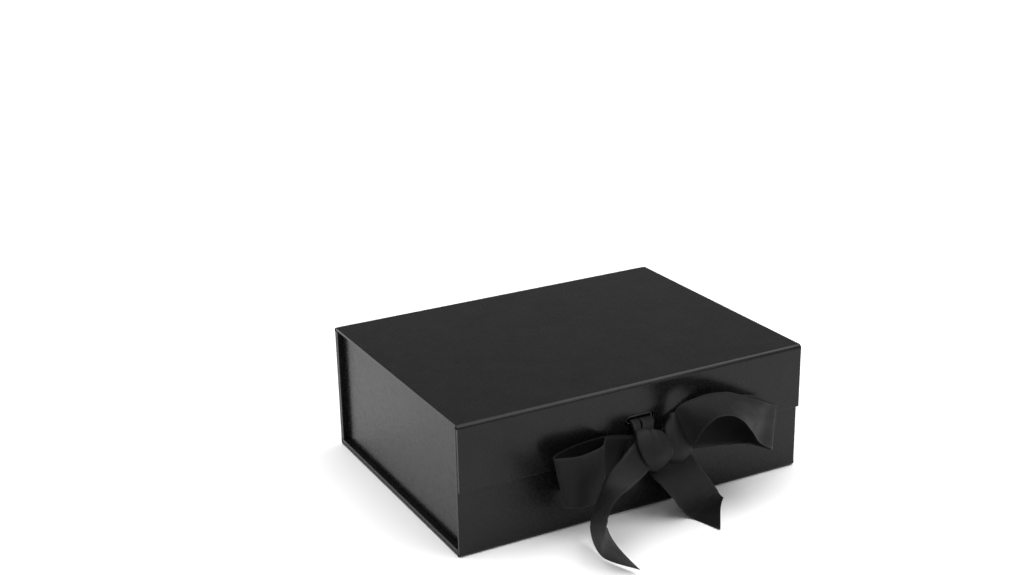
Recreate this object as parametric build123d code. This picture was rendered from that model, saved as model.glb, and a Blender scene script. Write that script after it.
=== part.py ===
from build123d import *
import os

# A folding gift box with a magnetic flap and a ribbon bow. One cover sheet of wrapped greyboard
# makes the front wall, base, spine, lid and flap, and two side boards are taped in between.
# X is the width, Y runs back and Z is up. The origin is the middle of the base, on the table.

# Driving dimensions, in millimetres.
box_width = 268.0
box_depth = 200.0
box_height = 94.0
board = 2.0
paper = 0.2
lid_fold = 3.0
flap_height = 47.0
flap_clearance = 0.4
lid_clearance = 0.3
side_recess = 4.0
liner_inset = 3.0
layer_gap = 0.1
tab_width = 18.0
tab_thickness = 0.3
tape_thickness = 0.2
tape_margin = 2.0
magnet_radius = 6.0
magnet_thickness = 1.5
magnet_spacing = 150.0
magnet_edge = 11.0
pocket_play = 0.1
slot_drop = 25.4
slot_length = 18.5
slot_height = 3.4
slot_wall = 0.4
flange_length = 22.5
flange_height = 7.0
flange_thickness = 0.5
washer_margin = 2.4
washer_thickness = 0.3
ribbon_width = 38.0
ribbon_thickness = 0.6
anchor_height = 28.0
anchor_thickness = 0.5
strand_width = 8.0
strand_thickness = 1.5

# The knot's box, and how far its edges are rounded.
knot_x = (-13.0, 14.0)
knot_y = (-122.0, -106.0)
knot_bottom = 40.0
knot_top = 65.0
knot_round = 5.0

# Each stretch of the ribbon outside the knot, as pairs of points on its two edges.
ribbon_routes = {
    "left_loop_back": [
        ((-13.5, -111.0, 44.0), (-13.5, -109.0, 62.0)),
        ((-20.0, -108.5, 31.0), (-23.0, -107.5, 64.0)),
        ((-33.0, -107.5, 26.0), (-36.0, -106.5, 64.0)),
        ((-49.0, -108.0, 25.0), (-53.0, -107.5, 63.0)),
        ((-61.0, -111.0, 25.0), (-68.0, -111.0, 62.0)),
        ((-64.0, -113.3, 25.0), (-71.5, -113.3, 61.5)),
    ],
    "left_loop_front": [
        ((-64.0, -114.5, 25.0), (-71.8, -114.5, 61.5)),
        ((-62.0, -118.5, 24.5), (-68.0, -119.0, 62.5)),
        ((-56.0, -121.5, 25.0), (-59.0, -122.0, 63.0)),
        ((-47.0, -120.0, 25.0), (-48.0, -120.0, 63.0)),
        ((-37.0, -115.5, 25.0), (-38.5, -115.5, 63.0)),
        ((-29.0, -111.5, 27.0), (-30.0, -110.0, 63.0)),
        ((-20.0, -111.5, 33.0), (-20.0, -109.5, 62.5)),
        ((-13.5, -113.5, 44.0), (-13.5, -111.5, 61.5)),
    ],
    "right_loop_back": [
        ((14.5, -113.5, 44.0), (14.5, -109.5, 64.0)),
        ((30.0, -118.0, 44.0), (30.0, -108.0, 70.0)),
        ((45.0, -121.0, 43.0), (48.0, -107.0, 76.0)),
        ((62.0, -124.0, 40.0), (70.0, -107.0, 72.0)),
        ((80.0, -127.0, 36.0), (92.0, -107.5, 66.0)),
        ((94.0, -130.0, 29.5), (105.0, -112.5, 58.5)),
    ],
    "right_loop_front": [
        ((93.5, -133.0, 29.0), (104.5, -114.5, 59.0)),
        ((82.0, -141.0, 38.0), (92.0, -117.5, 64.5)),
        ((69.0, -147.0, 50.0), (76.0, -118.0, 73.0)),
        ((54.0, -151.0, 70.0), (57.0, -117.0, 80.5)),
        ((38.0, -147.0, 72.0), (39.0, -115.0, 81.0)),
        ((27.0, -136.0, 58.0), (24.0, -113.5, 75.0)),
        ((14.5, -118.0, 45.0), (14.5, -112.5, 65.0)),
    ],
    "left_tail": [
        ((-14.0, -121.8, 61.0), (-5.5, -123.0, 39.0)),
        ((-28.0, -123.0, 52.0), (-21.0, -146.0, 48.0)),
        ((-38.0, -124.0, 45.5), (-35.0, -155.0, 49.0)),
        ((-45.0, -125.0, 35.0), (-43.0, -159.0, 48.0)),
        ((-49.0, -124.0, 24.0), (-49.0, -157.0, 42.0)),
        ((-50.0, -122.0, 13.0), (-53.0, -154.0, 35.0)),
        ((-49.5, -121.5, 4.0), (-55.5, -151.0, 28.0)),
        ((-54.0, -140.0, 0.9), (-59.0, -160.0, 33.0)),
        ((-53.5, -152.0, 0.9), (-59.0, -164.0, 36.0)),
        ((-44.0, -173.0, 0.9), (-46.5, -171.5, 7.0)),
    ],
    "right_tail": [
        ((-2.0, -117.0, 35.0), (20.0, -116.0, 39.0)),
        ((2.0, -127.0, 31.0), (33.0, -120.0, 36.0)),
        ((9.0, -131.0, 19.0), (44.0, -119.0, 25.0)),
        ((17.0, -130.0, 8.0), (53.0, -117.0, 12.0)),
        ((24.0, -132.0, 0.9), (60.0, -118.0, 0.9)),
        ((31.0, -155.0, 0.9), (36.0, -149.0, 0.9)),
    ],
}

# Worked out from them.
panel = board + 2 * paper
half_width = box_width / 2
half_depth = box_depth / 2
lid_under = box_height - panel
wall_top = lid_under - lid_clearance
fold_bottom = box_height - lid_fold
flap_inner = -half_depth - flap_clearance
flap_outer = flap_inner - panel
flap_bottom = box_height - flap_height
floor_bottom = panel + layer_gap
floor_top = floor_bottom + panel
back_outer = half_depth - panel - layer_gap
back_inner = back_outer - panel
front_inner = -half_depth + panel
slot_z = box_height - slot_drop
magnet_z = flap_bottom + magnet_edge
barrel_end = flap_inner - paper - anchor_thickness - layer_gap - washer_thickness


def slab(x, y, z):
    """A block between two values on each axis."""
    size = [high - low for low, high in (x, y, z)]
    middle = [(high + low) / 2 for low, high in (x, y, z)]
    return Pos(*middle) * Box(*size)


def across(inset):
    """The span in X that is this far inside the box's two ends."""
    return (-half_width + inset, half_width - inset)


def write(shape, name):
    """One STEP file for each node."""
    export_step(shape, f"parts/{name}.step")


def fold_arc(y, z, radius, y_side, z_side):
    """A quarter turn of paper round a fold line through y, z, open towards the inside."""
    tube = Cylinder(radius, box_width, rotation=(0, 90, 0))
    tube -= Cylinder(radius - paper, box_width, rotation=(0, 90, 0))
    quarter = slab(across(0), sorted((0, y_side * radius)), sorted((0, z_side * radius)))
    return Pos(0, y, z) * (tube & quarter)


def horizontal_panel(y, bottom, outside_down):
    """Board, cover paper and liner of a panel that lies flat: the paper wraps its two ends."""
    low, high = (paper, panel - paper)
    core = slab(across(paper), y, (bottom + low, bottom + high))
    if outside_down:
        liner_z = (bottom + high, bottom + panel)
    else:
        liner_z = (bottom, bottom + low)
    liner = slab(across(liner_inset), y, liner_z)
    cover = slab(across(0), y, (bottom, bottom + panel)) - core - liner
    return core, cover, liner


def upright_panel(front, z, free_edge, outside_front):
    """The same for a panel that stands: its free edge, if any, is wrapped too."""
    z_low, z_high = z
    core_low = z_low + (paper if free_edge == "bottom" else 0)
    core_high = z_high - (paper if free_edge == "top" else 0)
    liner_low = z_low + (liner_inset if free_edge == "bottom" else 0)
    liner_high = z_high - (liner_inset if free_edge == "top" else 0)
    core = slab(across(paper), (front + paper, front + panel - paper), (core_low, core_high))
    if outside_front:
        liner_y = (front + panel - paper, front + panel)
    else:
        liner_y = (front, front + paper)
    liner = slab(across(liner_inset), liner_y, (liner_low, liner_high))
    cover = slab(across(0), (front, front + panel), z) - core - liner
    return core, cover, liner


def wrapped_board(x, y, z):
    """An inner board and the paper all round it."""
    core = slab(*[(low + paper, high - paper) for low, high in (x, y, z)])
    skin = slab(x, y, z) - core
    return core, skin


def disc(x, y, z, radius):
    """A magnet, or the pocket for one, with its axis along Y."""
    middle = (y[0] + y[1]) / 2
    return Pos(x, middle, z) * Cylinder(radius, y[1] - y[0], rotation=(90, 0, 0))


def slot_block(length, height, y):
    """A prism with a round-ended outline, lying along X and running along Y."""
    outline = Plane.XZ * SlotOverall(length, height)
    prism = extrude(outline, amount=y[1] - y[0], dir=(0, 1, 0))
    return Pos(0, y[0], slot_z) * prism


def magnets(y, name):
    """A pair of magnets, and the pockets that hold them."""
    pockets = []
    for side, x in (("left", -magnet_spacing / 2), ("right", magnet_spacing / 2)):
        write(disc(x, y, magnet_z, magnet_radius), f"{name}_magnet_{side}")
        pockets.append(disc(x, y, magnet_z, magnet_radius + pocket_play))
    return pockets


def build_base():
    """The base panel of the cover, whose paper turns up into the front wall and the spine."""
    y = (front_inner, half_depth - panel)
    core, cover, liner = horizontal_panel(y, 0, outside_down=True)
    cover += fold_arc(y[0], panel, panel, -1, -1)
    cover += fold_arc(y[1], panel, panel, 1, -1)
    write(core, "base_board")
    write(cover, "base_cover_paper")
    write(liner, "base_liner")


def build_floor_and_back():
    """The second layer inside the cover: the boards that the side walls stand between."""
    y = (front_inner + layer_gap, back_outer)
    core, skin = wrapped_board(across(0), y, (floor_bottom, floor_top))
    write(core, "floor_board")
    write(skin, "floor_paper")
    z = (floor_top + layer_gap, wall_top)
    core, skin = wrapped_board(across(0), (back_inner, back_outer), z)
    write(core, "back_board")
    write(skin, "back_paper")


def build_front_wall():
    """The front wall, with a pair of magnets let into the face that the flap closes on."""
    core, cover, liner = upright_panel(-half_depth, (panel, wall_top), "top", outside_front=True)
    face = -half_depth + paper
    for pocket in magnets((face, face + magnet_thickness), "front_wall"):
        core -= pocket
    write(core, "front_wall_board")
    write(cover, "front_wall_cover_paper")
    write(liner, "front_wall_liner")


def build_spine():
    """The rear wall of the cover, between the base fold and the lid fold."""
    front = half_depth - panel
    core, cover, liner = upright_panel(front, (panel, fold_bottom), "none", outside_front=False)
    write(core, "spine_board")
    write(cover, "spine_cover_paper")
    write(liner, "spine_liner")


def build_side(name, sign):
    """A side wall set in from the ends, with three paper tabs and the tape under each."""
    outer = half_width - side_recess
    inner = outer - panel
    y = (front_inner + layer_gap, back_inner - layer_gap)
    z = (floor_top + layer_gap, wall_top)
    core, skin = wrapped_board((inner, outer), y, z)
    tab_x = (inner - tab_width, inner)
    tape_x = (tab_x[0] + tape_margin, inner - tape_margin)
    tab_z = (z[0] + tab_width, z[1] - tape_margin)
    tape_z = (tab_z[0] + tape_margin, tab_z[1] - tape_margin)
    front_tab = (front_inner + tape_thickness, front_inner + tape_thickness + tab_thickness)
    back_tab = (back_inner - tape_thickness - tab_thickness, back_inner - tape_thickness)
    floor_tab = (floor_top + tape_thickness, floor_top + tape_thickness + tab_thickness)
    floor_y = (y[0] + tab_width, y[1] - tab_width)
    tape_y = (floor_y[0] + tape_margin, floor_y[1] - tape_margin)
    for tab_y in (front_tab, back_tab):
        skin += slab(tab_x, tab_y, tab_z)
    skin += slab(tab_x, floor_y, floor_tab)
    tapes = [
        slab(tape_x, (front_inner, front_tab[0]), tape_z),
        slab(tape_x, (back_tab[1], back_inner), tape_z),
        slab(tape_x, tape_y, (floor_top, floor_tab[0])),
    ]
    if sign < 0:
        core = mirror(core, Plane.YZ)
        skin = mirror(skin, Plane.YZ)
        tapes = [mirror(tape, Plane.YZ) for tape in tapes]
    write(core, f"{name}_side_board")
    write(skin, f"{name}_side_paper")
    write(Compound(children=tapes), f"{name}_side_tapes")


def build_lid():
    """The lid panel, and the strips of cover paper that fold to the spine and to the flap."""
    front = flap_outer + lid_fold
    rear = half_depth - lid_fold
    core, cover, liner = horizontal_panel((front, rear), lid_under, outside_down=False)
    write(core, "lid_board")
    write(cover, "lid_cover_paper")
    write(liner, "lid_liner")
    write(fold_arc(front, fold_bottom, lid_fold, -1, 1), "front_fold_paper")
    write(fold_arc(rear, fold_bottom, lid_fold, 1, 1), "rear_fold_paper")


def build_flap():
    """The flap, with its magnets, the slot for the ribbon and a shallow pocket behind it."""
    z = (flap_bottom, fold_bottom)
    core, cover, liner = upright_panel(flap_outer, z, "bottom", outside_front=True)
    face = flap_inner - paper
    for pocket in magnets((face - magnet_thickness, face), "flap"):
        core -= pocket
    washer = (barrel_end, barrel_end + washer_thickness)
    pocket_z = (slot_z - anchor_height / 2 - 1, slot_z + anchor_height / 2 - 1)
    core -= slab((-ribbon_width / 2 - 1, ribbon_width / 2 + 1), (washer[0], face), pocket_z)
    hole = slot_block(slot_length + 2 * slot_wall, slot_height + 2 * slot_wall, (flap_outer, face))
    write(core - hole, "flap_board")
    write(cover - hole, "flap_cover_paper")
    write(liner, "flap_liner")


def build_eyelet():
    """The pressed metal eyelet round the slot: a flange and barrel, and a washer behind."""
    front = (flap_outer - flange_thickness, flap_outer)
    barrel = (flap_outer, barrel_end + washer_thickness)
    opening = slot_block(slot_length, slot_height, (front[0] - 1, barrel[1] + 1))
    flange = slot_block(flange_length, flange_height, front)
    rim = flange.faces().sort_by(Axis.Y)[0].edges()
    flange = fillet(rim, flange_thickness * 0.8)
    tube = slot_block(slot_length + 2 * slot_wall, slot_height + 2 * slot_wall, barrel)
    write(flange + tube - opening, "slot_eyelet")
    size = (slot_length + 2 * washer_margin, slot_height + 2 * washer_margin)
    washer = slot_block(*size, (barrel_end, barrel_end + washer_thickness))
    write(washer - tube, "slot_washer")


def ribbon_stretch(edges, thickness=ribbon_thickness):
    """A stretch of ribbon through pairs of points, one on each edge, with straight rulings."""
    pairs = [(Vector(*one), Vector(*other)) for one, other in edges]
    middles = [(one + other) * 0.5 for one, other in pairs]
    last = len(pairs) - 1
    sections = []
    for i, (one, other) in enumerate(pairs):
        width = other - one
        along = middles[min(i + 1, last)] - middles[max(i - 1, 0)]
        along -= width * (along.dot(width) / width.dot(width))
        plane = Plane(origin=middles[i], x_dir=width, z_dir=along)
        sections.append(plane * Rectangle(width.length, thickness))
    return loft(sections, ruled=True)


def build_ribbon():
    """One length of ribbon: its middle is held behind the flap, and its two halves come out of
    the slot side by side, are knotted once and make two loops and two tails."""
    face = flap_inner - paper
    anchor_y = (face - anchor_thickness, face - layer_gap)
    anchor_z = (slot_z - anchor_height / 2, slot_z + anchor_height / 2 - 2)
    anchor = slab((-ribbon_width / 2, ribbon_width / 2), anchor_y, anchor_z)
    write(anchor, "ribbon_anchor")
    for name, route in ribbon_routes.items():
        write(ribbon_stretch(route), name)
    for name, x in (("left", -4.5), ("right", 4.5)):
        write(slot_strand(x, anchor_y[0]), f"slot_strand_{name}")
    write(bow_knot(), "bow_knot")


def slot_strand(x, start_y):
    """One gathered half of the ribbon, out through the slot and down into the knot."""
    half = strand_width / 2
    route = [
        ((x - half, start_y, slot_z), (x + half, start_y, slot_z)),
        ((x - half, flap_outer - 2, slot_z), (x + half, flap_outer - 2, slot_z)),
        ((x - half, flap_outer - 5, slot_z - 2), (x + half, flap_outer - 5, slot_z - 2)),
        ((x - half, flap_outer - 6.5, knot_top), (x + half, flap_outer - 6.5, knot_top)),
    ]
    return ribbon_stretch(route, strand_thickness)


def bow_knot():
    """The knot, as a rounded block."""
    block = slab(knot_x, knot_y, (knot_bottom, knot_top))
    return fillet(block.edges(), knot_round)


os.makedirs("parts", exist_ok=True)
build_base()
build_floor_and_back()
build_front_wall()
build_spine()
build_side("left", -1)
build_side("right", 1)
build_lid()
build_flap()
build_eyelet()
build_ribbon()
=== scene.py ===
import math

import bmesh
import bpy
import numpy as np
from mathutils import Matrix, Vector, noise


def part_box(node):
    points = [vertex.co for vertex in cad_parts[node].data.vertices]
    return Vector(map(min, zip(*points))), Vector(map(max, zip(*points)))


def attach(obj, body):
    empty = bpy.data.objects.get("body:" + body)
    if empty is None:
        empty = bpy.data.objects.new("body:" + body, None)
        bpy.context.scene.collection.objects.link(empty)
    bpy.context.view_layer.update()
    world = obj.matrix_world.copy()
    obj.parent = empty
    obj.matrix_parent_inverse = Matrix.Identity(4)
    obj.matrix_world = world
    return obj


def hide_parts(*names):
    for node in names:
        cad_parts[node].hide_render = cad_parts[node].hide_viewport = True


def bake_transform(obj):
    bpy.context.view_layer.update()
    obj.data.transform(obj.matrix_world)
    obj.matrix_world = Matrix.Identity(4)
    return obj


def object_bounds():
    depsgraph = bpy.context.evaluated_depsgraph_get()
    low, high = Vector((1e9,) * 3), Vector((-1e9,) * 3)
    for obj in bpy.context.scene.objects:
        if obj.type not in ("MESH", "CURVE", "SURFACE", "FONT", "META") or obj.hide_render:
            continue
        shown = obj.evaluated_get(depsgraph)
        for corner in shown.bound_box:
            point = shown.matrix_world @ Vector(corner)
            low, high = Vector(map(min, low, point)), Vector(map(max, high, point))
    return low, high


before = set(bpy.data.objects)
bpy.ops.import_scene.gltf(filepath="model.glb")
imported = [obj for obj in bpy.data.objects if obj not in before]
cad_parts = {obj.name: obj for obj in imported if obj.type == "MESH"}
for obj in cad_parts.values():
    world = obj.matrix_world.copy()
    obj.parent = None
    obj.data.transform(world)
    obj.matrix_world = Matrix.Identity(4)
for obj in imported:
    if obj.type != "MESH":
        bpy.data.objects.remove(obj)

cad_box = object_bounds()
mm = 0.001


# The grey boards. Each panel is 2 mm recycled board, pressed from mixed waste paper, so it is
# grey with paler and darker flecks. All of them end up closed in paper.
def add(material, kind, **settings):
    """One more node in a material."""
    node = material.node_tree.nodes.new(kind)
    for name, value in settings.items():
        if name in node.inputs:
            node.inputs[name].default_value = value
        else:
            setattr(node, name, value)
    return node


def join(material, source, output, target, socket):
    """A link from one node's output to another's input."""
    material.node_tree.links.new(source.outputs[output], target.inputs[socket])


def new_finish(name, **settings):
    """A material and its shader, with these values on the shader's sockets."""
    material = bpy.data.materials.new(name)
    material.use_nodes = True
    shader = material.node_tree.nodes["Principled BSDF"]
    for socket, value in settings.items():
        shader.inputs[socket.replace("_", " ")].default_value = value
    return material, shader


def mottle(material, shader, where, scale, dark, light):
    """A colour that wanders between two shades."""
    spots = add(material, "ShaderNodeTexNoise", Scale=scale, Detail=6.0, Roughness=0.6)
    shades = add(material, "ShaderNodeValToRGB")
    shades.color_ramp.elements[0].position = 0.35
    shades.color_ramp.elements[0].color = (*dark, 1)
    shades.color_ramp.elements[1].position = 0.65
    shades.color_ramp.elements[1].color = (*light, 1)
    join(material, where, "Object", spots, "Vector")
    join(material, spots, "Fac", shades, "Fac")
    join(material, shades, "Color", shader, "Base Color")


def vary_gloss(material, shader, where, scale, low, high):
    """A roughness that wanders between two values."""
    spots = add(material, "ShaderNodeTexNoise", Scale=scale, Detail=4.0)
    spread = add(material, "ShaderNodeMapRange")
    spread.inputs["From Min"].default_value = 0.3
    spread.inputs["From Max"].default_value = 0.7
    spread.inputs["To Min"].default_value = low
    spread.inputs["To Max"].default_value = high
    join(material, where, "Object", spots, "Vector")
    join(material, spots, "Fac", spread, "Value")
    join(material, spread, "Result", shader, "Roughness")


def grain(material, shader, where, layers):
    """Surface relief in layers of (noise scale, height in metres), coarse or fine."""
    last = None
    for scale, height in layers:
        relief = add(material, "ShaderNodeTexNoise", Scale=scale, Detail=3.0)
        bump = add(material, "ShaderNodeBump", Strength=1.0, Distance=height)
        join(material, where, "Object", relief, "Vector")
        join(material, relief, "Fac", bump, "Height")
        if last is not None:
            join(material, last, "Normal", bump, "Normal")
        last = bump
    join(material, last, "Normal", shader, "Normal")


greyboard, board_shader = new_finish("greyboard", Roughness=0.9)
board_place = add(greyboard, "ShaderNodeTexCoord")
mottle(greyboard, board_shader, board_place, 900.0, (0.24, 0.23, 0.21), (0.44, 0.42, 0.38))
grain(greyboard, board_shader, board_place, [(1500.0, 0.08 * mm)])


def refinish(names, material):
    """Another material on nodes whose shape stays as it is."""
    for name in names:
        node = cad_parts[name]
        node.data.materials.clear()
        node.data.materials.append(material)


refinish([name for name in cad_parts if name.endswith("_board")], greyboard)


# The cover sheet. One sheet of matt laminated black paper wraps the boards of the front wall,
# base, spine, lid and flap. It is glued down flat, turned over every free edge, and runs
# straight on into the folds between the boards. Its film has a fine grain and a soft gloss.
paper_edge = 0.45 * mm
grid_pitch = 8.0 * mm
wave_size = 0.05 * mm

cover_paper, cover_shader = new_finish("black_cover_paper", Specular_IOR_Level=0.22)
cover_place = add(cover_paper, "ShaderNodeTexCoord")
mottle(cover_paper, cover_shader, cover_place, 60.0, (0.004, 0.004, 0.0043), (0.006, 0.006, 0.0064))
vary_gloss(cover_paper, cover_shader, cover_place, 250.0, 0.24, 0.29)
grain(cover_paper, cover_shader, cover_place, [(22.0, 0.05 * mm), (2600.0, 0.004 * mm)])


def waviness(point, low, high, thin):
    """How far glued paper stands off true at a point, fading out at the panel's edges."""
    inside = 1.0
    for axis in range(3):
        if axis != thin:
            nearest = min(point[axis] - low[axis], high[axis] - point[axis])
            inside *= min(max(nearest / (10 * mm), 0.0), 1.0)
    return noise.noise(point * 18.0) * wave_size * inside


def rounded_block(low, high, rounding, fold_sides=()):
    """A block with rounded edges, cut into a grid. Fold sides, (axis, sign), stay sharp."""
    form = bmesh.new()
    bmesh.ops.create_cube(form, size=1)
    bmesh.ops.scale(form, vec=high - low, verts=form.verts)
    bmesh.ops.translate(form, vec=(low + high) / 2, verts=form.verts)
    middle = (low + high) / 2

    def on_fold(edge):
        return any(
            all((v.co[axis] - middle[axis]) * sign > 0 for v in edge.verts)
            for axis, sign in fold_sides
        )

    free = [edge for edge in form.edges if not on_fold(edge)]
    bmesh.ops.bevel(form, geom=free, offset=rounding, segments=4, profile=0.5, affect="EDGES")
    for axis in range(3):
        span = high[axis] - low[axis]
        if span < 2 * grid_pitch:
            continue
        count = round(span / grid_pitch)
        places = [low[axis] + span * i / count for i in range(1, count)]
        places += [low[axis] + rounding * 2, high[axis] - rounding * 2]
        for place in places:
            normal = Vector([float(a == axis) for a in range(3)])
            parts = form.verts[:] + form.edges[:] + form.faces[:]
            bmesh.ops.bisect_plane(form, geom=parts, plane_co=normal * place, plane_no=normal)
    thin = min(range(3), key=lambda a: high[a] - low[a])
    for vert in form.verts:
        vert.co[thin] += waviness(vert.co, low, high, thin)
    return form


def show(name, form, material, body):
    """A finished mesh as a piece that rides on a body."""
    mesh = bpy.data.meshes.new(name)
    form.to_mesh(mesh)
    form.free()
    return show_mesh(name, mesh, material, body)


def show_mesh(name, mesh, material, body):
    """The same for a mesh that is already built. A piece with no body is left unattached."""
    mesh.shade_smooth()
    mesh.set_sharp_from_angle(angle=math.radians(50))
    mesh.materials.append(material)
    piece = bpy.data.objects.new(name, mesh)
    bpy.context.scene.collection.objects.link(piece)
    if body:
        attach(piece, body)
    return piece


def flat_shading(piece):
    """Keeps large faces flat right up to their rounded edges."""
    piece.modifiers.new("flat_faces", "WEIGHTED_NORMAL").keep_sharp = True


wrapped_panels = {
    "front_wall": ("box", [(2, -1)]),
    "spine": ("box", [(2, -1), (2, 1)]),
    "lid": ("lid", [(1, -1), (1, 1)]),
    "flap": ("flap", [(2, 1)]),
}
covers = {}
for panel, (body, fold_sides) in wrapped_panels.items():
    form = rounded_block(*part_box(f"{panel}_cover_paper"), paper_edge, fold_sides)
    covers[panel] = show(f"{panel}_cover", form, cover_paper, body)
    flat_shading(covers[panel])
    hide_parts(f"{panel}_cover_paper")

# The base panel's sheet lies between its two folds, and its board shows its size.
base_low, base_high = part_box("base_board")
base_outer_low, base_outer_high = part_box("base_cover_paper")
base_low = Vector((base_outer_low.x, base_low.y, base_outer_low.z))
base_high = Vector((base_outer_high.x, base_high.y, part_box("floor_board")[0].z - 0.3 * mm))
base_form = rounded_block(base_low, base_high, paper_edge, [(1, -1), (1, 1)])
covers["base"] = show("base_cover", base_form, cover_paper, "box")
flat_shading(covers["base"])
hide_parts("base_cover_paper")


# The folds of the cover sheet. Between two boards there is only paper, doubled where it is
# turned in, and it bends in a quarter circle. The two at the base stay bent; the one behind
# the lid and the one at the flap are the box's hinges.
fold_paper = 0.4 * mm
fold_overlap = 1.2 * mm
fold_proud = 0.02 * mm
fold_end_rounding = 0.12 * mm
fold_steps = 14


def fold_strip(name, y, z, radius, y_side, z_side, body):
    """A strip that runs off one panel, round a quarter circle about y, z and onto the next."""
    path = []
    for step in range(fold_steps + 1):
        turn = math.pi / 2 * step / fold_steps
        way = Vector((0, y_side * math.cos(turn), z_side * math.sin(turn)))
        path.append((way, Vector((0, 0, 0))))
    lead_in = Vector((0, 0, -z_side * fold_overlap))
    lead_out = Vector((0, -y_side * fold_overlap, 0))
    path = [(path[0][0], lead_in)] + path + [(path[-1][0], lead_out)]
    low_x, high_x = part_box("lid_cover_paper")[0].x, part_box("lid_cover_paper")[1].x
    columns = np.linspace(low_x, high_x, 68)
    centre = Vector((0, y, z))
    form = bmesh.new()
    rings = []
    for x in columns:
        at_end = x in (low_x, high_x)
        outer_radius = radius + fold_proud - (fold_end_rounding if at_end else 0)
        inner_radius = radius - fold_paper + (fold_end_rounding if at_end else 0)
        ring = []
        for reach in (outer_radius, inner_radius):
            line = []
            for way, shift in path:
                place = centre + way * reach + shift
                line.append(form.verts.new((x, place.y, place.z)))
            ring.append(line)
        rings.append(ring[0] + ring[1][::-1])
    for one, other in zip(rings, rings[1:]):
        for k in range(len(one)):
            following = (k + 1) % len(one)
            form.faces.new((one[k], one[following], other[following], other[k]))
    form.faces.new(rings[0][::-1])
    form.faces.new(rings[-1])
    bmesh.ops.recalc_face_normals(form, faces=form.faces)
    return show(name, form, cover_paper, body)


panel_thickness = base_high.z - base_low.z
fold_strip("base_front_fold", base_low.y, panel_thickness, panel_thickness, -1, -1, "box")
fold_strip("base_rear_fold", base_high.y, panel_thickness, panel_thickness, 1, -1, "box")

lid_low, lid_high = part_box("lid_cover_paper")
flap_low, flap_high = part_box("flap_cover_paper")
lid_fold = lid_high.z - flap_high.z
rear_fold = fold_strip("lid_rear_fold", lid_high.y, flap_high.z, lid_fold, 1, 1, None)
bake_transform(rear_fold)
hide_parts("rear_fold_paper")
front_fold = fold_strip("lid_front_fold", lid_low.y, flap_high.z, lid_fold, -1, 1, None)
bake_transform(front_fold)
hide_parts("front_fold_paper")


# The linings. A second sheet of uncoated black paper is pasted inside each panel, 3 mm in from
# the edges. It stands a little higher round its border, where it lies on the turned-in cover.
lining_proud = 0.14 * mm
lining_middle = 0.05 * mm
turn_in = 12.0 * mm
rim_width = 0.15 * mm
turn_in_slope = 0.8 * mm
lining_pitch = 10 * mm

lining_paper, lining_shader = new_finish("black_lining_paper", Specular_IOR_Level=0.3)
lining_place = add(lining_paper, "ShaderNodeTexCoord")
lining_dark, lining_light = (0.009, 0.009, 0.0095), (0.014, 0.014, 0.0147)
mottle(lining_paper, lining_shader, lining_place, 400.0, lining_dark, lining_light)
vary_gloss(lining_paper, lining_shader, lining_place, 300.0, 0.62, 0.74)
grain(lining_paper, lining_shader, lining_place, [(1400.0, 0.02 * mm), (30.0, 0.06 * mm)])


def lining(name, node, thin, side, body):
    """A sheet on one face of a panel: `side` is the way it faces along its thin axis."""
    low, high = (Vector(corner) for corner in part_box(node))
    face = high[thin] if side > 0 else low[thin]
    form = bmesh.new()
    others = [axis for axis in range(3) if axis != thin]
    places = []
    for axis in others:
        span = high[axis] - low[axis]
        steps = [0, rim_width, turn_in, turn_in + turn_in_slope]
        count = max(2, round(span / lining_pitch))
        inner = np.linspace(turn_in + 6 * mm, span - turn_in - 6 * mm, count)
        line = steps + list(inner) + [span - step for step in steps[::-1]]
        places.append([low[axis] + step for step in line])
    levels = []
    for level in ("top", "under"):
        rows = []
        for i, a in enumerate(places[0]):
            row = []
            for j, b in enumerate(places[1]):
                rim = min(i, j, len(places[0]) - 1 - i, len(places[1]) - 1 - j)
                height = lining_middle if rim >= 3 else lining_proud
                if rim == 0:
                    height -= 0.06 * mm
                if level == "under":
                    height = -0.05 * mm
                co = Vector((0, 0, 0))
                co[others[0]] = a
                co[others[1]] = b
                co[thin] = face + side * height
                row.append(form.verts.new(co))
            rows.append(row)
        levels.append(rows)
    last_i, last_j = len(places[0]) - 1, len(places[1]) - 1
    for rows in levels:
        for i in range(last_i):
            for j in range(last_j):
                form.faces.new((rows[i][j], rows[i + 1][j], rows[i + 1][j + 1], rows[i][j + 1]))
    top, under = levels
    border = [(i, 0) for i in range(last_i)] + [(last_i, j) for j in range(last_j)]
    border += [(i, last_j) for i in range(last_i, 0, -1)] + [(0, j) for j in range(last_j, 0, -1)]
    for (i, j), (k, l) in zip(border, border[1:] + border[:1]):
        form.faces.new((top[i][j], top[k][l], under[k][l], under[i][j]))
    bmesh.ops.recalc_face_normals(form, faces=form.faces)
    piece = show(name, form, lining_paper, body)
    flat_shading(piece)
    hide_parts(node)


lining("lid_lining", "lid_liner", 2, -1, "lid")
lining("flap_lining", "flap_liner", 1, 1, "flap")
lining("front_wall_lining", "front_wall_liner", 1, 1, "box")
lining("spine_lining", "spine_liner", 1, -1, "box")
lining("base_lining", "base_liner", 2, 1, "box")


# The second layer. A floor board and a back board, wrapped all round in the lining paper, are
# glued onto the base and the spine, so each of those walls is two boards thick. Their wraps are
# drawn with the cover paper's finish.
for node in ("floor_paper", "back_paper"):
    form = rounded_block(*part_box(node), paper_edge)
    piece = show(node.replace("_paper", "_wrap"), form, cover_paper, "box")
    flat_shading(piece)
    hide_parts(node)


# The side walls. Each is a wrapped board set 4 mm in from the box's ends, with three paper
# tabs that are folded inwards and held down by double-sided tape.
tab_width = 18.0 * mm
tab_paper = 0.3 * mm
tab_lift = 0.2 * mm
tab_taper = 1.8 * mm


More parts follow.
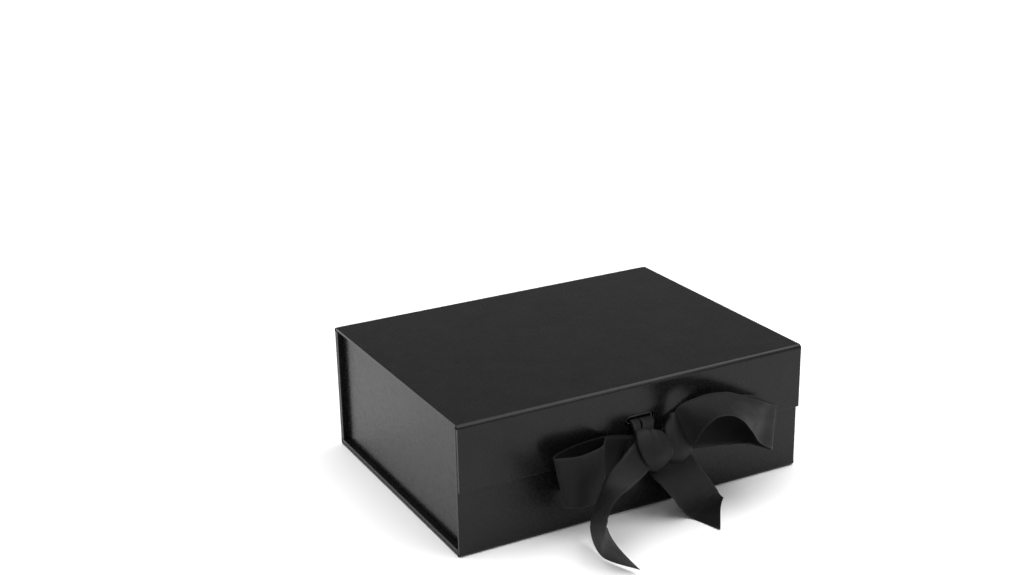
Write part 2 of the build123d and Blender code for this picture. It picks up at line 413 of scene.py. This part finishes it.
def tab(form, hinge, other, reach, normal):
    """A tab: a flat paper strip along a fold line, with slanted ends and a small lift."""
    along = (other - hinge).normalized()
    outline = [hinge, other, other + reach - along * tab_taper, hinge + reach + along * tab_taper]
    upper = [form.verts.new(place + normal * (tab_lift + tab_paper)) for place in outline]
    lower = [form.verts.new(place + normal * tab_lift) for place in outline]
    faces = [form.faces.new(upper), form.faces.new(lower[::-1])]
    for k in range(4):
        following = (k + 1) % 4
        faces.append(form.faces.new((upper[following], upper[k], lower[k], lower[following])))
    bmesh.ops.recalc_face_normals(form, faces=faces)
    rim = {edge for face in faces[:1] for edge in face.edges}
    bmesh.ops.bevel(form, geom=list(rim), offset=0.1 * mm, segments=2, profile=0.5, affect="EDGES")


for side, inward in (("left", 1), ("right", -1)):
    low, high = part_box(f"{side}_side_paper")
    board_low, board_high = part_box(f"{side}_side_board")
    wall_low = Vector((board_low.x - 0.2 * mm, low.y, low.z))
    wall_high = Vector((board_high.x + 0.2 * mm, high.y, high.z))
    wall_low.z = board_low.z - 0.2 * mm
    wall_high.z = board_high.z + 0.2 * mm
    wall_low.y = board_low.y - 0.2 * mm
    wall_high.y = board_high.y + 0.2 * mm
    form = rounded_block(wall_low, wall_high, paper_edge)
    face_x = wall_high.x if inward > 0 else wall_low.x
    reach = Vector((inward * tab_width, 0, 0))
    floor_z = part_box("floor_paper")[1].z
    front_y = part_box("front_wall_cover_paper")[1].y
    back_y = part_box("back_paper")[0].y
    tab_bottom, tab_top = wall_low.z + tab_width, wall_high.z - 2 * mm
    tab_front, tab_back = wall_low.y + tab_width, wall_high.y - tab_width
    tab_places = [
        ((tab_front, floor_z), (tab_back, floor_z), (0, 0, 1)),
        ((front_y, tab_bottom), (front_y, tab_top), (0, 1, 0)),
        ((back_y, tab_bottom), (back_y, tab_top), (0, -1, 0)),
    ]
    for one_end, other_end, normal in tab_places:
        hinge, other = Vector((face_x, *one_end)), Vector((face_x, *other_end))
        tab(form, hinge, other, reach, Vector(normal))
    piece = show(f"{side}_side_wall", form, cover_paper, "box")
    flat_shading(piece)
    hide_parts(f"{side}_side_paper")

# The tape: a thin clear film with a milky glue, hidden under the tabs.
tape, tape_shader = new_finish("double_sided_tape", Roughness=0.35, Transmission_Weight=0.2)
tape_place = add(tape, "ShaderNodeTexCoord")
mottle(tape, tape_shader, tape_place, 300.0, (0.62, 0.61, 0.57), (0.80, 0.79, 0.74))
grain(tape, tape_shader, tape_place, [(500.0, 0.02 * mm)])
refinish(["left_side_tapes", "right_side_tapes"], tape)


# The magnets: nickel-plated discs, a pair in the front wall and a pair in the flap, let into
# the boards before the paper goes over them.
def metal_finish(name, colour, low, high):
    """A polished metal with faint wear."""
    material, shader = new_finish(name, Metallic=1.0, Base_Color=(*colour, 1))
    place = add(material, "ShaderNodeTexCoord")
    vary_gloss(material, shader, place, 700.0, low, high)
    grain(material, shader, place, [(900.0, 0.01 * mm)])
    return material


nickel = metal_finish("nickel_plate", (0.62, 0.61, 0.58), 0.2, 0.34)
refinish([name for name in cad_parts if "magnet" in name], nickel)


# The slot and its eyelet: a slot with round ends is punched through the flap, and a pressed
# eyelet in bright black nickel lines it. Its flange is rolled over in front, and a washer
# behind grips its barrel.
eyelet_low, eyelet_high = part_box("slot_eyelet")
slot_centre = (eyelet_low + eyelet_high) / 2
flange_reach = (eyelet_high.z - eyelet_low.z) / 2
slot_half = (eyelet_high.x - eyelet_low.x) / 2 - flange_reach
opening_reach = 2.1 * mm
flange_swell = 0.85 * mm


def slot_line(reach, y, steps=14):
    """Points round a slot with round ends, this far out from its middle line."""
    line = []
    for end in (1, -1):
        for step in range(steps + 1):
            turn = math.pi * step / steps - math.pi / 2
            x = slot_centre.x + end * (slot_half + reach * math.cos(turn))
            line.append(Vector((x, y, slot_centre.z + end * reach * math.sin(turn))))
    return line


def lathe_slot(form, section):
    """A closed ring swept round the slot, from a section of (reach, y) points."""
    rings = [[form.verts.new(place) for place in slot_line(reach, y)] for reach, y in section]
    for one, other in zip(rings, rings[1:] + rings[:1]):
        for k in range(len(one)):
            following = (k + 1) % len(one)
            form.faces.new((one[k], one[following], other[following], other[k]))
    bmesh.ops.recalc_face_normals(form, faces=form.faces)


flap_face = flap_low.y
section = [(opening_reach, eyelet_high.y)]
roll_width = flange_reach - opening_reach
for step in range(13):
    turn = math.pi * step / 12
    reach = opening_reach + roll_width / 2 * (1 - math.cos(turn))
    section.append((reach, flap_face - 0.1 * mm - flange_swell * math.sin(turn) ** 0.8))
section.append((flange_reach, flap_face + 0.02 * mm))
section.append((opening_reach + 0.4 * mm, flap_face + 0.02 * mm))
section.append((opening_reach + 0.4 * mm, eyelet_high.y))
eyelet_form = bmesh.new()
lathe_slot(eyelet_form, section)
black_nickel = metal_finish("black_nickel", (0.02, 0.02, 0.0215), 0.10, 0.18)
eyelet = show("eyelet_ring", eyelet_form, black_nickel, "flap")
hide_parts("slot_eyelet")
refinish(["slot_washer"], black_nickel)

# The hole for it, punched through the flap's paper.
punch_form = bmesh.new()
front_ring = slot_line(opening_reach + 0.4 * mm, flap_low.y - 3 * mm)
back_ring = slot_line(opening_reach + 0.4 * mm, flap_high.y + 3 * mm)
front_verts = [punch_form.verts.new(place) for place in front_ring]
back_verts = [punch_form.verts.new(place) for place in back_ring]
punch_form.faces.new(front_verts)
punch_form.faces.new(back_verts[::-1])
for k in range(len(front_verts)):
    following = (k + 1) % len(front_verts)
    corners = (front_verts[k], front_verts[following], back_verts[following], back_verts[k])
    punch_form.faces.new(corners)
bmesh.ops.recalc_face_normals(punch_form, faces=punch_form.faces)
punch_mesh = bpy.data.meshes.new("punch")
punch_form.to_mesh(punch_mesh)
punch_form.free()
punch = bpy.data.objects.new("punch", punch_mesh)
bpy.context.scene.collection.objects.link(punch)
cut = covers["flap"].modifiers.new("slot", "BOOLEAN")
cut.object = punch
cut.operation = "DIFFERENCE"
bpy.context.view_layer.update()
evaluated = covers["flap"].evaluated_get(bpy.context.evaluated_depsgraph_get())
punched = bpy.data.meshes.new_from_object(evaluated)
covers["flap"].modifiers.clear()
covers["flap"].data = punched
flat_shading(covers["flap"])
bpy.data.objects.remove(punch)


# The ribbon: one length of 38 mm black satin ribbon with a fine rib across it and a firmer
# selvedge along each edge. Its middle is held behind the flap, and its halves come out of the
# slot and are tied in a bow. Each stretch is a strip between its two edges' lines.
ribbon_width = 38.0
cloth_thickness = 0.26
selvedge_bead = 0.46
selvedge_width = 1.6
rib_pitch = 0.55
widest_roll = 1.4
folded_layer = 0.4

ribbon_satin, satin_shader = new_finish(
    "black_satin_ribbon",
    Specular_IOR_Level=0.15,
    Sheen_Weight=0.03,
    Sheen_Roughness=0.35,
    Sheen_Tint=(0.8, 0.82, 0.86, 1),
    Anisotropic=0.4,
)


def weave(material, shader):
    """Ribs across the ribbon and finer warp threads along it, from its flat coordinates."""
    flat = add(material, "ShaderNodeUVMap", uv_map="cloth")
    split = add(material, "ShaderNodeSeparateXYZ")
    join(material, flat, "UV", split, "Vector")
    heights = []
    for output, pitch in (("X", rib_pitch * mm), ("Y", rib_pitch * mm * 0.6)):
        phase = add(material, "ShaderNodeMath", operation="MULTIPLY")
        phase.inputs[1].default_value = 2 * math.pi / pitch
        wave = add(material, "ShaderNodeMath", operation="SINE")
        join(material, split, output, phase, 0)
        join(material, phase, "Value", wave, 0)
        heights.append(wave)
    ribs = add(material, "ShaderNodeBump", Strength=1.0, Distance=0.035 * mm)
    threads = add(material, "ShaderNodeBump", Strength=1.0, Distance=0.012 * mm)
    join(material, heights[0], "Value", ribs, "Height")
    join(material, heights[1], "Value", threads, "Height")
    join(material, ribs, "Normal", threads, "Normal")
    slubs = add(material, "ShaderNodeTexNoise", Scale=90.0, Detail=3.0)
    crumple = add(material, "ShaderNodeBump", Strength=1.0, Distance=0.10 * mm)
    join(material, flat, "UV", slubs, "Vector")
    join(material, slubs, "Fac", crumple, "Height")
    join(material, threads, "Normal", crumple, "Normal")
    join(material, crumple, "Normal", shader, "Normal")
    # Painted highlight: the base colour is lighter along each selvedge (0.014 at the edge, falling
    # to 0.007 inside), standing in for the edge beads catching the light.
    edge = add(material, "ShaderNodeMath", operation="PINGPONG")
    edge.inputs[1].default_value = ribbon_width / 2 * mm
    join(material, split, "Y", edge, 0)
    shades = add(material, "ShaderNodeMapRange")
    shades.inputs["From Min"].default_value = 0.9 * mm
    shades.inputs["From Max"].default_value = selvedge_width * mm
    shades.inputs["To Min"].default_value = 0.014
    shades.inputs["To Max"].default_value = 0.007
    join(material, edge, "Value", shades, "Value")
    # Painted shade and highlight: the colour is darkened in the troughs between the ribs and
    # lightened on their crests, following the ribs' wave.
    painted_rib_light = add(material, "ShaderNodeMapRange")
    painted_rib_light.inputs["From Min"].default_value = -1.0
    painted_rib_light.inputs["To Min"].default_value = 0.72
    painted_rib_light.inputs["To Max"].default_value = 1.15
    join(material, heights[0], "Value", painted_rib_light, "Value")
    shade = add(material, "ShaderNodeMath", operation="MULTIPLY")
    join(material, shades, "Result", shade, 0)
    join(material, painted_rib_light, "Result", shade, 1)
    colour = add(material, "ShaderNodeCombineColor")
    for channel in ("Red", "Green", "Blue"):
        join(material, shade, "Value", colour, channel)
    join(material, colour, "Color", shader, "Base Color")
    gloss = add(material, "ShaderNodeMapRange")
    gloss.inputs["From Min"].default_value = 0.3
    gloss.inputs["From Max"].default_value = 0.7
    gloss.inputs["To Min"].default_value = 0.42
    gloss.inputs["To Max"].default_value = 0.56
    join(material, slubs, "Fac", gloss, "Value")
    join(material, gloss, "Result", shader, "Roughness")


weave(ribbon_satin, satin_shader)


def on_line(points, t):
    """Places on a smooth line through the points, where t counts points from the first."""
    points = np.array(points, float)
    ends = [2 * points[0] - points[1]], [2 * points[-1] - points[-2]]
    knots = np.concatenate([ends[0], points, ends[1]])
    start = np.clip(np.floor(t).astype(int), 0, len(points) - 2)
    f = (t - start)[..., None]
    a, b, c, d = (knots[start + k] for k in range(4))
    square, cube = 2 * a - 5 * b + 4 * c - d, 3 * b - a - 3 * c + d
    return 0.5 * (2 * b + (c - a) * f + square * f**2 + cube * f**3)


def unit(vectors):
    """The same directions, one unit long."""
    return vectors / np.linalg.norm(vectors, axis=-1, keepdims=True)


edge_columns = [0.0, 0.3, 0.7, 1.1, selvedge_width, 2.2]
middle_columns = list(np.linspace(3.4, ribbon_width - 3.4, 25))
columns = np.array(edge_columns + middle_columns + [ribbon_width - c for c in edge_columns[::-1]])


def lying_flat(width, t):
    """A flat cross-section."""
    return (columns / ribbon_width - 0.5) * width, np.zeros(len(columns))


def fold_away(length, span):
    """How far along and how deep a hidden margin lies when it is folded to and fro."""
    layer = int(length / span)
    along = length - layer * span
    return (along if layer % 2 == 0 else span - along), folded_layer * layer


def tucked(side, behind=-1):
    """A cross-section with one edge, the first for side -1, folded under where it narrows."""
    def section(width, t):
        spare = max(ribbon_width - width, 0.0)
        radius = max(min(widest_roll, 0.85 * spare / (math.pi - 1)), 1e-4)
        front = width - radius
        sideways, depth = [], []
        for column in columns:
            place = column if side > 0 else ribbon_width - column
            bend = min(max((place - front) / radius, 0.0), math.pi)
            hidden = max(place - front - math.pi * radius, 0.0)
            beyond, deeper = fold_away(hidden, width - 2 * radius)
            reach = min(place, front) + radius * math.sin(bend) - beyond
            sideways.append(side * (reach - width / 2))
            depth.append(behind * (radius * (1 - math.cos(bend)) + deeper))
        return np.array(sideways), np.array(depth)
    return section


def one_after_another(first, second):
    """One cross-section for the first half of a stretch and another for the second."""
    def section(width, t):
        return first(width, t) if t < 0.5 else second(width, t)
    return section


def ribbon(name, lower, upper, section, stop=None, rows=12):
    """A strip of ribbon between two edge lines, cut across them at `stop`."""
    last = len(lower) - 1
    stop = stop or (last, last)
    count = rows * last
    share = columns / ribbon_width
    t = np.linspace(0, 1, count + 1)[:, None] * (stop[0] * (1 - share) + stop[1] * share)[None, :]
    a, b = on_line(lower, t), on_line(upper, t)
    step = 0.02
    before, after = np.maximum(t - step, 0), np.minimum(t + step, last)
    tangent = on_line(lower, after) + on_line(upper, after)
    tangent -= on_line(lower, before) + on_line(upper, before)
    across = unit(b - a)
    outward = unit(np.cross(tangent, across))
    width = np.linalg.norm(b - a, axis=-1)
    sideways, depth = np.zeros_like(width), np.zeros_like(width)
    for i in range(count + 1):
        middle = len(columns) // 2
        row_side, row_depth = section(width[i, middle], t[i, middle] / last)
        sideways[i], depth[i] = row_side, row_depth
    surface = (a + b) / 2 + across * sideways[..., None] + outward * depth[..., None]
    down = np.gradient(surface, axis=0)
    over = np.gradient(surface, axis=1)
    normal = unit(np.cross(down, over))
    middle_line = (on_line(lower, t[:, middle]) + on_line(upper, t[:, middle])) / 2
    length = float(np.linalg.norm(np.diff(middle_line, axis=0), axis=1).sum())
    from_edge = np.minimum(columns, ribbon_width - columns)
    bead = np.clip(1 - np.abs(from_edge - 0.7) / 0.9, 0, 1)
    half = (cloth_thickness + (selvedge_bead - cloth_thickness) * bead) / 2
    half = half * np.where(from_edge < 0.1, 0.45, 1.0)
    offset = normal * half[None, :, None]
    return cloth_mesh(name, surface + offset, surface - offset, t / last * length), length


def cloth_mesh(name, front, back, run):
    """A closed strip from its front and back surfaces, with its flat coordinates."""
    rows, across = front.shape[:2]
    verts = np.concatenate([front.reshape(-1, 3), back.reshape(-1, 3)]) * mm
    under = rows * across
    faces, flats = [], []

    def corner(i, j, side):
        return side * under + i * across + j

    def quad(corners):
        faces.append([corner(*c) for c in corners])
        flats.extend((run[c[0], c[1]] * mm, columns[c[1]] * mm) for c in corners)

    for i in range(rows - 1):
        for j in range(across - 1):
            quad([(i, j, 0), (i + 1, j, 0), (i + 1, j + 1, 0), (i, j + 1, 0)])
            quad([(i, j, 1), (i, j + 1, 1), (i + 1, j + 1, 1), (i + 1, j, 1)])
        quad([(i, 0, 0), (i, 0, 1), (i + 1, 0, 1), (i + 1, 0, 0)])
        j = across - 1
        quad([(i, j, 0), (i + 1, j, 0), (i + 1, j, 1), (i, j, 1)])
    for j in range(across - 1):
        quad([(0, j, 0), (0, j + 1, 0), (0, j + 1, 1), (0, j, 1)])
        quad([(rows - 1, j, 0), (rows - 1, j, 1), (rows - 1, j + 1, 1), (rows - 1, j + 1, 0)])
    mesh = bpy.data.meshes.new(name)
    mesh.from_pydata(verts.tolist(), [], faces)
    layer = mesh.uv_layers.new(name="cloth")
    layer.data.foreach_set("uv", np.array(flats, np.float32).ravel())
    return show_mesh(name, mesh, ribbon_satin, "flap")


def edges(route):
    """The two edge lines of a route given as pairs of points."""
    return [pair[0] for pair in route], [pair[1] for pair in route]


# The part behind the flap: the middle of the ribbon, laid flat in its pocket under the lining.
anchor_low, anchor_high = (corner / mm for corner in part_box("ribbon_anchor"))
anchor_y = (anchor_low.y + anchor_high.y) / 2
anchor_route = [
    ((anchor_low.x, anchor_y, z), (anchor_high.x, anchor_y, z))
    for z in np.linspace(anchor_high.z, anchor_low.z, 4)
]
anchor, anchor_length = ribbon("ribbon_middle", *edges(anchor_route), lying_flat)
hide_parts("ribbon_anchor")


# The two halves in the slot: each is pleated lengthwise into a narrow bunch, comes straight
# out over the eyelet's lip and turns down into the knot.
def pleated(layers, gap):
    """A cross-section folded to and fro in layers, from the front one backwards."""
    def section(width, t):
        radius = gap / 2
        run = (ribbon_width - (layers - 1) * math.pi * radius) / layers
        layer_length = run + math.pi * radius
        sideways, depth = [], []
        for place in columns:
            layer = min(int(place // layer_length), layers - 1)
            along = place - layer * layer_length
            way = 1 if layer % 2 == 0 else -1
            turn = max(along - run, 0) / radius
            side = min(along, run) - run / 2 + radius * math.sin(turn)
            sideways.append(way * side * width / (run + 2 * radius))
            depth.append(-layer * gap - radius * (1 - math.cos(turn)))
        return np.array(sideways), np.array(depth)
    return section


strand_routes = {
    "left": (
        [
            ((-8.0, -101.2, 68.9), (-1.2, -101.2, 68.9)),
            ((-7.6, -103.7, 68.9), (-0.9, -103.7, 68.9)),
            ((-7.4, -106.4, 67.0), (-1.6, -106.4, 67.0)),
            ((-7.4, -109.4, 63.6), (-2.6, -109.4, 63.6)),
            ((-7.0, -112.0, 59.0), (-2.5, -112.0, 59.0)),
        ],
        pleated(6, 0.4),
    ),
    "right": (
        [
            ((-0.6, -101.2, 68.7), (8.2, -101.2, 68.7)),
            ((-0.4, -103.7, 68.7), (8.4, -103.7, 68.7)),
            ((0.2, -106.2, 67.0), (9.8, -106.2, 66.8)),
            ((-1.0, -109.2, 64.0), (7.5, -109.2, 63.5)),
            ((-1.5, -112.0, 59.0), (6.5, -112.0, 59.0)),
        ],
        pleated(4, 0.5),
    ),
}
for side, (route, section) in strand_routes.items():
    strand, strand_length = ribbon(f"{side}_strand", *edges(route), section)
    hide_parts(f"slot_strand_{side}")


# The knot: one gathered turn of the ribbon passes over the front with its edges rolled under,
# and the end of the right loop wraps beside it as a second, narrower turn.
knot_crown = 1.6


def rolled_under(left_radius, right_radius, crease=None):
    """A cross-section whose two edges are rolled under behind a crowned front."""
    def section(width, t):
        front = width - left_radius - right_radius
        tails = ribbon_width - front - math.pi * (left_radius + right_radius)
        left_tail = tails / 2
        sideways, depth = [], []
        for place in columns:
            if place < left_tail:
                side, deeper = fold_away(left_tail - place, front)
                back = 2 * left_radius + deeper
            elif place < left_tail + math.pi * left_radius:
                turn = (place - left_tail) / left_radius
                side = -left_radius * math.sin(turn)
                back = left_radius * (1 + math.cos(turn))
            elif place < left_tail + math.pi * left_radius + front:
                side, back = place - left_tail - math.pi * left_radius, 0.0
            else:
                bend = place - left_tail - math.pi * left_radius - front
                turn = min(bend / right_radius, math.pi)
                beyond, deeper = fold_away(max(bend - math.pi * right_radius, 0), front)
                side = front + right_radius * math.sin(turn) - beyond
                back = right_radius * (1 - math.cos(turn)) + deeper
            side += left_radius
            crown = knot_crown * math.sin(math.pi * min(max(side / width, 0), 1)) ** 2
            notch = 0.0
            if crease:
                across, deep, until = crease
                notch = deep * math.exp(-((side / width - across) / 0.05) ** 2)
                notch *= max(1 - t / until, 0)
            sideways.append(side - width / 2)
            depth.append(crown - back - notch)
        return np.array(sideways), np.array(depth)
    return section


knot_pieces = {
    "knot_band": (
        [
            ((-8.0, -108.5, 60.0), (7.0, -108.5, 57.0)),
            ((-9.6, -112.0, 65.5), (7.6, -112.0, 62.0)),
            ((-11.4, -117.5, 66.2), (9.8, -117.5, 62.4)),
            ((-12.9, -122.0, 61.0), (13.4, -122.0, 56.5)),
            ((-11.4, -125.0, 52.5), (13.4, -124.5, 50.0)),
            ((-8.2, -125.0, 45.5), (12.2, -123.5, 44.2)),
            ((-4.4, -122.0, 39.6), (7.0, -121.5, 39.4)),
            ((-1.0, -116.0, 37.0), (6.0, -115.0, 38.0)),
            ((-2.0, -110.0, 41.0), (6.0, -109.0, 41.0)),
        ],
        rolled_under(1.0, 1.6, crease=(0.52, 2.4, 0.5)),
    ),
    "knot_side_turn": (
        [
            ((16.0, -109.0, 62.0), (23.0, -109.0, 67.0)),
            ((17.0, -111.5, 68.0), (23.0, -111.5, 71.6)),
            ((12.5, -116.0, 64.0), (24.8, -115.5, 63.5)),
            ((10.5, -120.0, 57.0), (28.0, -118.5, 55.0)),
            ((10.5, -122.0, 49.0), (32.4, -119.5, 46.5)),
            ((13.0, -121.0, 42.0), (31.0, -118.0, 39.8)),
            ((16.0, -116.0, 38.0), (27.0, -114.5, 38.0)),
            ((16.0, -111.0, 40.0), (25.0, -110.0, 40.0)),
        ],
        rolled_under(1.0, 2.0),
    ),
}
for name, (route, section) in knot_pieces.items():
    turn, turn_length = ribbon(name, *edges(route), section)
    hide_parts("bow_knot")


# The left loop: it leaves the knot behind the left tail, lies back against the flap, folds
# over at its end and comes forward again to the knot.
left_loop_route = [
    ((-9.5, -112.0, 46.0), (-9.5, -110.0, 61.0)),
    ((-20.5, -106.0, 31.0), (-23.5, -105.3, 63.0)),
    ((-34.0, -105.4, 26.0), (-37.0, -105.0, 63.3)),
    ((-50.0, -106.5, 25.0), (-54.0, -106.0, 62.5)),
    ((-61.0, -110.5, 25.0), (-68.0, -110.5, 62.0)),
    ((-64.4, -113.9, 25.0), (-71.9, -113.9, 61.5)),
    ((-62.0, -118.0, 24.5), (-68.5, -118.0, 62.5)),
    ((-56.0, -121.5, 25.0), (-59.0, -122.0, 63.0)),
    ((-47.0, -120.5, 25.0), (-48.0, -120.5, 63.0)),
    ((-38.0, -118.5, 25.0), (-38.5, -118.5, 64.0)),
    ((-33.8, -114.5, 26.0), (-33.8, -114.0, 65.5)),
    ((-29.5, -109.3, 28.0), (-29.5, -108.8, 64.5)),
    ((-20.0, -108.3, 33.0), (-20.0, -107.8, 62.0)),
    ((-9.5, -112.0, 44.0), (-9.5, -110.5, 60.0)),
]


# The right loop: it rises from the knot, leans out in front in a broad arch, and its far end
# is folded against the flap's edge.
right_loop_route = [
    ((12.5, -112.5, 44.0), (12.5, -107.5, 58.0)),
    ((30.0, -117.0, 44.5), (30.0, -107.0, 68.0)),
    ((45.0, -121.0, 44.5), (48.0, -107.0, 76.0)),
    ((60.0, -124.0, 43.5), (70.0, -107.0, 72.0)),
    ((76.0, -127.0, 41.0), (92.0, -107.5, 66.0)),
    ((83.9, -138.0, 39.9), (105.2, -113.5, 58.7)),
    ((70.5, -141.0, 47.5), (98.5, -115.5, 61.5)),
    ((62.0, -144.0, 59.8), (90.5, -117.5, 66.0)),
    ((55.5, -148.5, 67.5), (76.0, -118.0, 73.0)),
    ((48.8, -152.0, 74.3), (64.0, -117.5, 78.5)),
    ((41.0, -150.5, 79.5), (52.0, -116.5, 81.3)),
    ((34.7, -145.0, 78.0), (43.0, -115.5, 81.5)),
    ((32.1, -139.0, 72.0), (34.0, -114.3, 79.8)),
    ((31.0, -131.0, 62.5), (27.0, -113.0, 77.2)),
    ((30.5, -122.0, 49.5), (22.0, -111.5, 72.0)),
    ((22.0, -114.0, 46.0), (14.0, -109.0, 58.0)),
]
loops = {
    "left": (left_loop_route, one_after_another(tucked(-1), tucked(-1, behind=1))),
    "right": (right_loop_route, one_after_another(tucked(-1), tucked(1, behind=1))),
}
for side, (route, section) in loops.items():
    loop, loop_length = ribbon(f"{side}_loop", *edges(route), section)
    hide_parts(f"{side}_loop_back", f"{side}_loop_front")


# The left tail: it comes forward from the knot, drops to the table on its edge and curves
# round to its end, which is cut on a slant.
left_tail_route = [
    ((-6.0, -116.5, 61.0), (1.0, -116.5, 42.0)),
    ((-15.0, -120.0, 60.0), (-7.5, -126.0, 42.0)),
    ((-27.0, -122.5, 53.0), (-18.0, -133.0, 41.5)),
    ((-38.0, -124.0, 45.5), (-29.0, -137.5, 39.5)),
    ((-45.0, -125.0, 35.0), (-41.5, -144.5, 40.5)),
    ((-49.0, -124.0, 24.0), (-51.5, -151.0, 38.0)),
    ((-50.0, -122.0, 13.0), (-55.5, -153.5, 33.5)),
    ((-51.5, -127.0, 4.0), (-56.6, -154.0, 31.0)),
    ((-54.0, -140.0, 0.9), (-58.6, -158.0, 33.7)),
    ((-53.5, -152.0, 0.9), (-64.5, -167.0, 34.2)),
    ((-43.6, -173.5, 0.9), (-62.0, -186.0, 36.0)),
]


# The right tail: it drops steeply from under the knot, lands flat on the table and ends there,
# cut on a slant too.
right_tail_route = [
    ((3.0, -113.5, 46.0), (22.0, -112.5, 48.0)),
    ((-1.5, -119.5, 36.0), (33.0, -117.0, 39.0)),
    ((2.0, -127.0, 30.0), (38.0, -120.0, 30.5)),
    ((9.0, -131.0, 19.0), (45.5, -120.5, 20.5)),
    ((17.0, -130.0, 8.0), (53.0, -118.5, 10.0)),
    ((24.0, -132.0, 0.9), (60.0, -118.0, 0.9)),
    ((31.0, -155.0, 0.9), (67.0, -141.0, 0.9)),
]
tails = {
    "left": (left_tail_route, (10.0, 9.0), tucked(-1)),
    "right": (right_tail_route, (5.95, 4.97), tucked(-1)),
}
for side, (route, stop, section) in tails.items():
    lower, upper = edges(route)
    tail, tail_length = ribbon(f"{side}_tail_end", lower, upper, section, stop)
    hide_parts(f"{side}_tail")


# The table: a pale matt surface that runs on past the view, with a trace of unevenness.
table_size = 24.0
table_form = bmesh.new()
bmesh.ops.create_grid(table_form, x_segments=24, y_segments=24, size=table_size / 2)
table_mesh = bpy.data.meshes.new("table")
table_form.to_mesh(table_mesh)
table_form.free()
table = bpy.data.objects.new("table", table_mesh)
bpy.context.scene.collection.objects.link(table)
table.location = (0, 0, cad_box[0].z - 0.05 * mm)
pale, pale_shader = new_finish("pale_table", Specular_IOR_Level=0.2)
pale_place = add(pale, "ShaderNodeTexCoord")
mottle(pale, pale_shader, pale_place, 3.0, (0.93, 0.93, 0.93), (0.95, 0.95, 0.95))
vary_gloss(pale, pale_shader, pale_place, 5.0, 0.7, 0.8)
table_mesh.materials.append(pale)


# The light: a soft sky that is bright overhead and dim above the horizon, a large soft panel
# on the left, a smaller one in front for the glints on the eyelet, and one over the front
# right that draws the bright line along the lid's fold.
sky = bpy.data.worlds.new("soft_sky")
sky.use_nodes = True
bpy.context.scene.world = sky
sky_place = sky.node_tree.nodes.new("ShaderNodeTexCoord")
sky_split = sky.node_tree.nodes.new("ShaderNodeSeparateXYZ")
sky_shades = sky.node_tree.nodes.new("ShaderNodeValToRGB")
sky.node_tree.links.new(sky_place.outputs["Generated"], sky_split.inputs["Vector"])
sky.node_tree.links.new(sky_split.outputs["Z"], sky_shades.inputs["Fac"])
background = sky.node_tree.nodes["Background"]
sky.node_tree.links.new(sky_shades.outputs["Color"], background.inputs["Color"])
sky_levels = [(0.0, 0.7), (0.08, 0.5), (0.2, 0.18), (0.6, 0.2), (0.82, 1.0), (1.0, 1.3)]
ramp = sky_shades.color_ramp
while len(ramp.elements) < len(sky_levels):
    ramp.elements.new(0.5)
for element, (place, level) in zip(ramp.elements, sky_levels):
    element.position = place
    element.color = (level, level, level, 1)


def soft_panel(name, place, towards, width, height, power):
    """A rectangular soft light that faces a point."""
    light = bpy.data.lights.new(name, "AREA")
    light.shape = "RECTANGLE"
    light.size = width
    light.size_y = height
    light.energy = power
    lamp = bpy.data.objects.new(name, light)
    bpy.context.scene.collection.objects.link(lamp)
    lamp.location = place
    lamp.rotation_euler = (Vector(towards) - Vector(place)).to_track_quat("-Z", "Y").to_euler()


soft_panel("left_panel", (-1.6, 0.1, 1.1), (0, 0, 0.05), 1.4, 1.4, 8)
soft_panel("front_panel", (0.9, -1.5, 0.9), (0, 0, 0.05), 0.5, 0.5, 2)
soft_panel("edge_panel", (0.75, -0.47, 1.33), (0, -0.1, 0.09), 2.4, 0.7, 14)
ceiling = bpy.data.lights.new("ceiling", "SUN")
ceiling.energy = 1.5
ceiling.angle = math.radians(80)
ceiling_lamp = bpy.data.objects.new("ceiling", ceiling)
bpy.context.scene.collection.objects.link(ceiling_lamp)
ceiling_lamp.rotation_euler = (math.radians(-8), math.radians(-12), 0)


# The viewpoint: the front left, a little above, with a slight lean.
camera_place = Vector((-500.7, -872.1, 484.1)) * mm
turned, raised, leaning = math.radians(-27.8), math.radians(19.38), math.radians(-1.17)
level = math.cos(raised)
back = Vector((math.sin(turned) * level, -math.cos(turned) * level, math.sin(raised)))
right = Vector((0, 0, 1)).cross(back).normalized()
up = back.cross(right)
leaned_right = right * math.cos(leaning) + up * math.sin(leaning)
leaned_up = up * math.cos(leaning) - right * math.sin(leaning)
lens = bpy.data.cameras.new("view")
lens.lens = 53.15
lens.sensor_width = 36.0
camera = bpy.data.objects.new("view", lens)
bpy.context.scene.collection.objects.link(camera)
turning = Matrix((leaned_right, leaned_up, back)).transposed()
camera.matrix_world = Matrix.Translation(camera_place) @ turning.to_4x4()
bpy.context.scene.camera = camera
bpy.context.scene.view_settings.view_transform = "Standard"
